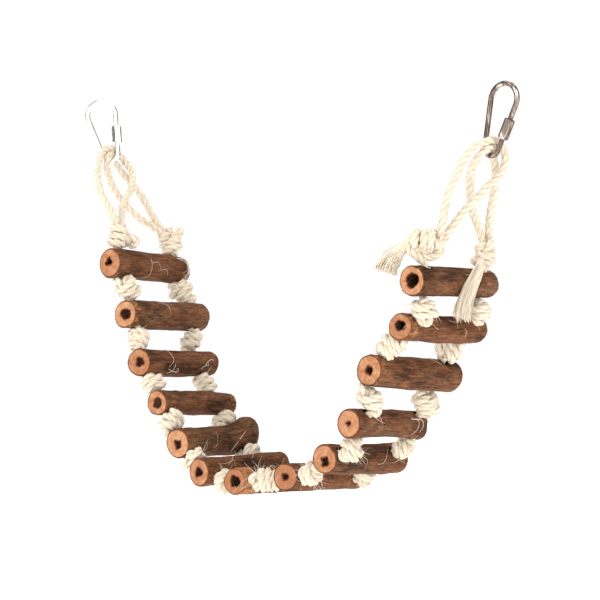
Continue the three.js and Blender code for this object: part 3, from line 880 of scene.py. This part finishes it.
def drill(obj, centre, way, reach):
    """Cuts a rope's hole right through a log, slightly ragged."""
    sides, rings = 40, 24
    path = np.array([centre + way * t for t in np.linspace(-reach, reach, rings)])
    angle = ring_angles(sides)
    step = np.arange(rings)[:, None] * 0.35
    wobble = noise(stacked(np.cos(angle) * 2.2, np.sin(angle) * 2.2, step) + centre[0], 47)
    verts = tube_points(path, angle, ROPE_HOLE / 2 + 0.14 * wobble)
    faces = capped_faces(rings, sides)
    none = np.zeros(len(verts))
    attributes = {"grain": verts, "rim": none, "relief": none + 0.2, "tone": none, "bare": none}
    # The hole's walls take the dark pith material, which is partly painted shade.
    zones = [PITH_ZONE] * len(faces)
    tool = make_object("drill", verts, faces, [BARK, END_GRAIN, PITH], attributes, zones)
    cut = obj.modifiers.new("hole", "BOOLEAN")
    cut.operation = "DIFFERENCE"
    cut.solver = "MANIFOLD"
    cut.object = tool
    bpy.context.view_layer.update()
    made = bpy.data.meshes.new_from_object(obj.evaluated_get(bpy.context.evaluated_depsgraph_get()))
    obj.modifiers.clear()
    old = obj.data
    made.name = old.name
    obj.data = made
    bpy.data.objects.remove(tool)
    bpy.data.meshes.remove(old)


for k in range(RUNGS):
    log = build_rung(k)
    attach(log, f"rung_{k + 1:02d}")
    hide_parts(f"rung_{k + 1:02d}")

# ---- Knots in the gaps ---------------------------------------------------------------

STRAY_STEPS = 9
SHORTEST_STRAY = 2.5
IN_KNOT = 5.45  # the rope's diameter in a knot


def stray(origin, way, length, curl, rng):
    """The path of a loose fibre that springs from origin and bends as it goes."""
    points = [np.asarray(origin, float)]
    way = unit(way)
    bend = unit(rng.normal(size=3)) * curl
    for _ in range(STRAY_STEPS):
        way = unit(way + bend / STRAY_STEPS + rng.normal(size=3) * 0.10)
        points.append(points[-1] + way * length / STRAY_STEPS)
    return np.array(points)


def stray_parts(path, count, longest, rng, seed):
    """Loose fibres that spring from a rope's surface, most of them lying along it."""
    tangent, normal, side = frames_along(path)
    parts = []
    for i in range(count):
        j = rng.integers(6, len(path) - 6)
        a = rng.uniform(0, 2 * np.pi)
        out = math.cos(a) * normal[j] + math.sin(a) * side[j]
        along = tangent[j] * rng.choice([-1, 1]) * rng.uniform(0.4, 1.4)
        length = SHORTEST_STRAY + (longest - SHORTEST_STRAY) * rng.random() ** 2.2
        way = along + out * rng.uniform(0.3, 1.1)
        line = stray(path[j] + out * ROPE * 0.40, way, length, rng.uniform(0.3, 2.2), rng)
        parts.append(hair_parts(line, rng.uniform(0.09, 0.16), seed + i))
    return parts


def swollen(path):
    """A rope's diameter along a path: full in the knot and slimmer towards both ends."""
    along = np.linspace(0, path_length(path), len(path))
    from_end = np.minimum(along, along[-1] - along)
    thin = ROPE - 0.2
    return thin + (IN_KNOT - thin) * smoothstep(from_end, 9, 13)


def sisal_object(name, parts):
    verts, faces, attributes = merge_parts(parts)
    return make_object(name, verts, faces, [SISAL], attributes)


def rope_object(name, path, seed, strays=0, longest=10.0, extra=(), diameter=ROPE):
    rng = np.random.default_rng(seed)
    parts = [rope_parts(path, diameter, seed, rng.uniform(0, 6.28))]
    parts += stray_parts(path, strays, longest, rng, seed)
    return sisal_object(name, parts + list(extra))


def on_ropes(obj, *nodes):
    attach(obj, "ropes")
    if nodes:
        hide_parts(*nodes)


# Turn of each knot about its rope, in radians, near and far, and how many loose fibres.
NEAR_SPIN = [0.4, 2.9, 5.1, 1.2, 3.9, 0.2, 2.2, 4.4, 1.0, 5.6, 3.3, 0.9]
FAR_SPIN = [1.9, 4.2, 0.3, 3.0, 5.4, 2.4, 0.8, 3.6, 4.9, 1.5, 5.9, 2.6]
STRAYS = [44, 40, 44, 50, 70, 110, 170, 150, 90, 50, 44, 44]
TURNS_PER_MM = 0.125  # of the gap between two rungs
MORE_TURNS = 0.35  # at most
LEAN = 0.42  # how far a knot's axis leans off its gap's
KNOT_SEED = {"near": 100, "far": 150}


def build_gap_knot(name, k, spin):
    """The knot of a rope between log k and the next one."""
    rope_y = ROPE_Y[name]
    a, b = PLACES[k], PLACES[k + 1]
    start = rope_hole(a, rope_y) + a["through"] * a["radius"]
    end = rope_hole(b, rope_y) - b["through"] * b["radius"]
    along = unit(end - start)
    centre = (start + end) / 2 + np.array([-along[2], 0, along[0]]) * KNOT_OFFSET[k]
    logs = [(rope_hole(r, rope_y), r["way"], r["radius"]) for r in (a, b)]
    letters = len(name)
    turns = TURNS_PER_MM * np.linalg.norm(end - start) + MORE_TURNS * ((k * 5 + letters) % 7) / 6
    lean = LEAN * np.array([math.sin(2.3 * k + letters), math.cos(3.1 * k), math.sin(1.7 * k + 2)])
    mirrored = (k + (name == "far")) % 2 == 0
    path = settle_knot(
        start, a["through"], end, b["through"], centre, spin, mirrored, logs, turns, along + lean
    )
    piece = f"{name}_knot_{k + 1:02d}"
    longest = 8 + STRAYS[k] * 0.06
    obj = rope_object(piece, path, KNOT_SEED[name] + k, STRAYS[k], longest, diameter=swollen(path))
    on_ropes(obj, f"{name}_rope_{k + 1:02d}")


def build_gap_knots():
    for name, spins in (("near", NEAR_SPIN), ("far", FAR_SPIN)):
        for k in range(RUNGS - 1):
            build_gap_knot(name, k, spins[k])


build_gap_knots()

# ---- Eyes, top knots and tails -------------------------------------------------------

# Each top knot: the rung under it, its centre, the way it lies, its turn, its handedness
# and its number of turns
TOP_KNOTS = {
    "left_near": (0, (50, -32, -102), None, 0.9, False, 2.2),
    "left_far": (0, (46, 26.5, -102.5), None, 2.6, True, 2.3),
    "right_near": (12, (309, -30, -116.5), (-0.79, -0.6, -0.1), 1.4, False, 2.9),
    "right_far": (12, (315.5, 24.5, -123), None, 4.0, True, 2.4),
}
# Short ends and turns of rope beside the knots
SHORT_ENDS = {
    "left_near": [
        (50, -30, -104), (53.5, -27, -102), (57, -24.5, -102.5), (58, -23, -105), (56, -24, -107.3),
        (54, -26, -106),
    ],
    "left_far": [(46, 26, -101), (48.5, 28.5, -98), (51, 31, -95), (52, 32.5, -91)],
    "right_near": [
        (313, -27, -119), (315, -25.5, -123), (311, -27, -125.8), (306.5, -30.5, -126.3),
        (303.5, -34, -124.5), (305, -34.5, -121.5), (309, -31, -122), (312, -28.5, -121.5),
    ],
}


def build_eyes():
    for seed, (name, points) in enumerate(EYES.items()):
        path = smooth_path(points, RING_STEP)
        obj = rope_object(f"{name}_loop", path, 200 + seed)
        on_ropes(obj, f"{name}_crown", f"{name}_eye")
        rng = np.random.default_rng(240 + seed)
        fibres = sisal_object(f"{name}_loop_fibres", stray_parts(path, 60, 11.0, rng, 240 + seed))
        on_ropes(fibres)


def build_top_knots():
    for number, (name, (k, centre, lies, spin, mirrored, turns)) in enumerate(TOP_KNOTS.items()):
        rung = PLACES[k]
        rope_y = ROPE_Y["near" if "near" in name else "far"]
        outward = rung["through"] * (-1 if k == 0 else 1)
        hole = rope_hole(rung, rope_y) + outward * rung["radius"]
        eye = np.array(EYES[name], float)
        start, start_way = eye[-1], unit(eye[-1] - eye[-2])
        logs = [(rope_hole(rung, rope_y), rung["way"], rung["radius"])]
        path = settle_knot(
            start, start_way, hole, -outward, np.array(centre, float), spin, mirrored, logs, turns,
            lies or hole - start, inside=(4.0, IN_HOLE),
        )
        extra = []
        if name in SHORT_ENDS:
            short = smooth_path(SHORT_ENDS[name], RING_STEP)
            extra.append(rope_parts(short, ROPE + 0.6, 300 + number, 1.0, end_taper=1.6))
        obj = rope_object(f"{name}_knot", path, 220 + number, 70, 11.0, extra, diameter=swollen(path))
        on_ropes(obj, f"{name}_eye")


FAN_THIN = np.array([0.6, -0.8, 0.0])  # the way in which the tails' fans are thin
# Each tail's route, number of fibres, how many times it widens, and how flat it is
TAILS = {"near_tail": (NEAR_TAIL, 420, 3.4, 0.3), "far_tail": (FAR_TAIL, 320, 2.5, 0.6)}


def tail_parts(points, fibres, root, spread, flat, rng, seed):
    """A rope's end that has come apart into fibres. They fan out as they go, and the fan
    gets thinner that way than it is wide."""
    path = smooth_path(points, 1.0)
    _, normal, side = frames_along(path)
    parts = []

    def spread_out(a, b):
        """Vectors across the path from shares of its normal and its side."""
        return a[:, None] * normal[: len(a)] + b[:, None] * side[: len(a)]

    for i in range(fibres):
        reach = 1 - 0.38 * rng.random() ** 1.6
        count = max(6, int(len(path) * reach))
        a = rng.uniform(0, 2 * np.pi)
        r = math.sqrt(rng.random())
        t = np.linspace(0, reach, count)
        fan = root * (1 + (spread - 1) * t**1.25)
        twist = a + 1.3 * (1 - t) + 0.35 * np.sin(t * 5 + a)
        out = spread_out(np.cos(twist) * fan * r, np.sin(twist) * fan * r)
        out -= ((out @ FAN_THIN) * (1 - flat) * t)[:, None] * FAN_THIN
        waves = noise(stacked(t * 3.2, i * 1.7, seed), 3)
        waver = noise(stacked(t * 3.2, i * 1.7 + 40, seed), 8)
        line = path[:count] + out + spread_out(waves * t * 1.5, waver * t * 1.5)
        parts.append(hair_parts(line, rng.uniform(0.28, 0.46), seed + i, 5, 0.5))
    return parts


def build_tails():
    for name, (points, fibres, spread, flat) in TAILS.items():
        rng = np.random.default_rng(len(name) + fibres)
        root = smooth_path(points[:2], RING_STEP)
        parts = [rope_parts(root, ROPE * 0.92, fibres, 0.5, end_taper=2.5)]
        parts += tail_parts(points, fibres, ROPE * 0.46, spread, flat, rng, fibres)
        on_ropes(sisal_object(f"{name}_fibres", parts), name)


def build_last_stubs():
    """The ends of the ropes inside the last rung, which show in its hollow pith."""
    rung = PLACES[RUNGS - 1]
    for name, rope_y in ROPE_Y.items():
        hole = rope_hole(rung, rope_y)
        reach = rung["radius"] - 0.6
        ends = np.array([hole - rung["through"] * reach, hole, hole + rung["through"] * reach])
        stub = rope_object(f"{name}_stub", smooth_path(ends, RING_STEP), 260 + len(name))
        on_ropes(stub, f"{name}_rope_{RUNGS}")


build_eyes()
build_top_knots()
build_tails()
build_last_stubs()

# Loose fibres that lie on a rung: the rung, where along it and round it (degrees from the
# top towards +X) they start and end, how far they stand off, their radius, and for a
# straight one a 0 at the end
RUNG_FIBRES = [
    (1, -12, 150, -4, 60, 1.6, 0.16), (1, -8, 60, 4, 100, 2.4, 0.14), (1, 3, 95, 14, 120, 1.5, 0.12),
    (1, 28, 40, 33, 128, 4.5, 0.36), (1, 30, 50, 36, 140, 3.5, 0.26), (1, 33, 30, 29, 110, 4.8, 0.22),
    (3, -16, 20, -18, 118, 2.0, 0.17), (3, -18, 110, -9, 120, 4.0, 0.20), (3, -19, 128, -12, 95, 3.0, 0.20),
    (3, 22, 100, 33, 70, 2.5, 0.20), (3, 20, 120, 27, 75, 2.0, 0.18),
    (5, 8, 135, 25, 55, 1.6, 0.26, 0), (5, -14, 115, -8, 60, 2.0, 0.12),
    (6, -22, 60, -10, 20, 2.0, 0.15), (6, -26, 50, -14, 75, 3.0, 0.14), (6, 4, 40, 14, 12, 2.4, 0.14),
    (7, -24, 70, -10, 95, 2.2, 0.15), (7, -20, 60, -12, 130, 3.2, 0.15), (8, -18, 120, -4, 140, 2.8, 0.16),
    (9, 5, 110, 20, 60, 1.5, 0.13), (9, -14, 60, -8, 130, 2.0, 0.13),
    (10, 20, 60, 31, 118, 3.6, 0.26), (10, 24, 70, 22, 128, 2.6, 0.22), (10, -22, 50, -16, 90, 1.8, 0.16),
    (11, 14, 30, 20, 60, 1.5, 0.12), (12, -20, 70, -14, 110, 2.0, 0.14), (12, 0, 50, 8, 95, 3.0, 0.13),
    (12, 14, 80, 16, 130, 1.6, 0.16), (13, 5, 60, 14, 110, 1.4, 0.12), (2, -12, 40, -2, 80, 1.6, 0.12),
]


def build_rung_fibres():
    grouped = {}
    for number, (rung_number, z0, a0, z1, a1, lift, radius, *waves) in enumerate(RUNG_FIBRES):
        rung = PLACES[rung_number - 1]
        up, side, along = log_frame(rung)
        t = np.linspace(0, 1, 18)
        wave = waves[0] if waves else 1
        angle = np.radians(a0 + (a1 - a0) * t + wave * 9 * np.sin(5 * t + number))
        z = z0 + (z1 - z0) * t + wave * 0.9 * np.sin(6 * t + number * 1.7)
        off = rung["radius"] + 0.1 + radius + lift * np.sin(np.pi * t) ** 1.5
        line = rung["middle"] + (np.cos(angle) * off)[:, None] * up + (np.sin(angle) * off)[:, None] * side
        line = line + z[:, None] * along
        if wave == 0:
            line = line[0] + (line[-1] - line[0]) * t[:, None] + (up * 0.3 + side) * 2.4
        grouped.setdefault(rung_number, []).append(hair_parts(line, radius * 0.78, number, 5, 0.6))
    for rung_number, parts in grouped.items():
        obj = sisal_object(f"rung_{rung_number:02d}_fibres", parts)
        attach(obj, f"rung_{rung_number:02d}")


build_rung_fibres()

# ---- Links and nuts ------------------------------------------------------------------

WIRE_SIDES = 28
NUT_SIDES = 96


def link_outline():
    """Centreline of a link's wire in its own plane, from the top of the gate to its foot,
    with the nut's middle and the way down the leg."""
    spacing = HOOK_TO_FOOT - LINK_HEAD_DEPTH - LINK_FOOT_RADIUS
    taper = math.asin((LINK_HEAD_RADIUS - LINK_FOOT_RADIUS) / spacing)
    head = np.array([0, 0, -LINK_HEAD_DEPTH])
    foot = head - [0, 0, spacing]

    def arc(centre, radius, a, b):
        t = np.linspace(a, b, 60)
        return centre + radius * stacked(np.cos(t), 0, np.sin(t))

    top = arc(head, LINK_HEAD_RADIUS, -taper, math.pi + taper)
    bottom = arc(foot, LINK_FOOT_RADIUS, math.pi + taper, 2 * math.pi - taper)
    down = unit(bottom[-1] - top[0])
    nut = top[0] + (bottom[-1] - top[0]) * NUT_PLACE
    outline = np.vstack([[nut - down * GATE_GAP / 2], top, bottom, [nut + down * GATE_GAP / 2]])
    return resample(outline, 0.2), nut, down


def nut_parts(centre, along):
    """A hexagonal nut with chamfered ends and a smooth bore."""
    half, flat = NUT_LENGTH / 2, NUT_ACROSS_FLATS / 2
    corner = flat / math.cos(math.pi / 6)
    bore = WIRE / 2 + 0.12
    # Radius and height of half the profile, from the middle of the outside in to the bore
    upper = [
        (corner, half - NUT_CHAMFER - 0.12), (corner - 0.05, half - NUT_CHAMFER), (flat - 0.02, half - 0.06),
        (flat - 0.18, half), (bore + 0.30, half), (bore, half - 0.3),
    ]
    profile = upper + [(radius, -height) for radius, height in reversed(upper)]
    across = unit(np.cross(along, [0.2, 1, 0.1]))
    side = np.cross(along, across)
    angle = ring_angles(NUT_SIDES)
    ways = np.cos(angle)[:, None] * across + np.sin(angle)[:, None] * side
    hexagon = flat / np.cos((angle + np.pi / 6) % (np.pi / 3) - np.pi / 6)
    rows = []
    for radius, height in profile:
        rows.append(centre + along * height + ways * np.minimum(radius, hexagon)[:, None])
    faces = tube_faces(len(rows), NUT_SIDES)
    last = (len(rows) - 1) * NUT_SIDES
    for s in range(NUT_SIDES):
        n = (s + 1) % NUT_SIDES
        faces.append((last + s, last + n, n, s))
    return np.vstack(rows), faces


def wire_parts(outline):
    """The bent wire, threaded where the nut runs, on both sides of the gate's gap."""
    along = distance_along(outline)
    from_gate = np.minimum(along, along[-1] - along)
    threaded = 1 - smoothstep(from_gate, THREAD_LENGTH - 0.3, THREAD_LENGTH)
    angle = ring_angles(WIRE_SIDES)
    phase = 2 * np.pi * along[:, None] / THREAD_PITCH + angle[None, :]
    cut = THREAD_DEPTH * (0.5 + 0.5 * np.cos(phase)) * threaded[:, None]
    ends = 1 - 0.18 * (1 - smoothstep(from_gate, 0, 0.5))
    size = WIRE / 2 * ends[:, None] - cut
    return tube_points(outline, angle, size), capped_faces(len(outline), WIRE_SIDES)


def build_link(name, hook, lean, turn, material):
    outline, nut, down = link_outline()
    c, s = math.cos(math.radians(turn)), math.sin(math.radians(turn))
    about_z = np.array([[c, -s, 0], [s, c, 0], [0, 0, 1]])
    c, s = math.cos(math.radians(lean)), math.sin(math.radians(lean))
    about_y = np.array([[c, 0, s], [0, 1, 0], [-s, 0, c]])
    placing = about_y @ about_z

    def add_piece(piece, body, node, points, faces):
        obj = make_object(f"{name}_{piece}", points @ placing.T + np.array(hook, float), faces, [material])
        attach(obj, body)
        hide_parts(node)

    add_piece("wire", "links", f"{name}_link", *wire_parts(outline))
    add_piece("sleeve", f"{name}_nut", f"{name}_nut", *nut_parts(nut, down))


build_link("left", *LINKS["left"], BRIGHT)
build_link("right", *LINKS["right"], DARK)

# ---- Floor, light and camera ---------------------------------------------------------

FLOOR_Z = -400.0
FLOOR_HALF = 9000
FLOOR_GLOW = 0.70
MIDDLE = (175, 0, -150)
CAMERA_AT = (981.7, -1035.7, -210.3)
CAMERA_TARGET = (185.4, 0.2, -148.7)
CAMERA_LENS = 116.9
BEHIND = (-0.609, 0.791, 0.047)  # the way from the camera to the object
# Area lights: place, width in metres and power
LIGHTS = {
    "key": ((-300, -1500, 700), 1.0, 13.5),
    "fill": ((1300, -500, 300), 1.2, 8),
    "top": ((175, 200, 1300), 1.2, 10),
}


def build_stage():
    n = Nodes(bpy.data.materials.new("floor_paper"))
    place = n.add("ShaderNodeTexCoord").outputs["Object"]
    n.surface(n.ramp(n.noise(place, 3.0), [(0.3, grey(0.93)), (0.7, grey(0.96))]), 0.9, 0.1)
    n.set("Emission Color", grey(1))
    n.set("Emission Strength", FLOOR_GLOW)
    corners = [(x * FLOOR_HALF, y * FLOOR_HALF, FLOOR_Z) for x, y in ((-1, -1), (1, -1), (1, 1), (-1, 1))]
    make_object("floor", corners, [(0, 1, 2, 3)], [n.owner])


def aim(name, data, place, target):
    """Adds a light or camera at a place, turned to a target."""
    obj = bpy.data.objects.new(name, data)
    obj.location = Vector(place) * MM
    obj.rotation_euler = (Vector(target) - Vector(place)).to_track_quat("-Z", "Y").to_euler()
    bpy.context.scene.collection.objects.link(obj)
    return obj


def build_lights():
    for name, (place, width, power) in LIGHTS.items():
        lamp = bpy.data.lights.new(name, "AREA")
        lamp.size = width
        lamp.energy = power
        aim(name, lamp, place, MIDDLE)


def build_world():
    """A white backdrop, soft light that is weaker from below, and for the bright metal a
    room that is white in front and darker behind."""
    world = bpy.data.worlds.new("studio")
    bpy.context.scene.world = world
    n = Nodes(world, "Background")
    way = n.add("ShaderNodeTexCoord").outputs["Generated"]
    split = n.add("ShaderNodeSeparateXYZ")
    n.put(split.inputs[0], way)
    height = n.math("MULTIPLY_ADD", split.outputs[2], 0.5, 0.5)
    soft = n.ramp(height, [(0.0, grey(0.52)), (0.5, grey(0.58)), (1.0, grey(0.82))])
    behind = n.add("ShaderNodeVectorMath", operation="DOT_PRODUCT")
    n.put(behind.inputs[0], way)
    behind.inputs[1].default_value = BEHIND
    facing = n.math("MULTIPLY_ADD", behind.outputs["Value"], 0.5, 0.5)
    room = n.ramp(facing, [
        (0.0, grey(0.80)), (0.08, grey(1.6)), (0.23, (1.4, 1.37, 1.32)), (0.33, (0.50, 0.45, 0.40)),
        (0.52, (0.22, 0.20, 0.19)), (0.64, grey(0.62)), (0.78, (0.16, 0.14, 0.13)), (1.0, (0.30, 0.28, 0.27)),
    ])
    seen = n.add("ShaderNodeLightPath")
    colour = n.mix(seen.outputs["Is Glossy Ray"], soft, room)
    n.set("Color", n.mix(seen.outputs["Is Camera Ray"], colour, (1.02, 1.02, 1.02)))


def build_camera():
    camera = bpy.data.cameras.new("camera")
    camera.lens = CAMERA_LENS
    camera.sensor_width = 36
    camera.clip_end = 100
    bpy.context.scene.camera = aim("camera", camera, CAMERA_AT, CAMERA_TARGET)


build_stage()
build_world()
build_lights()
build_camera()
bpy.context.scene.view_settings.view_transform = "Standard"
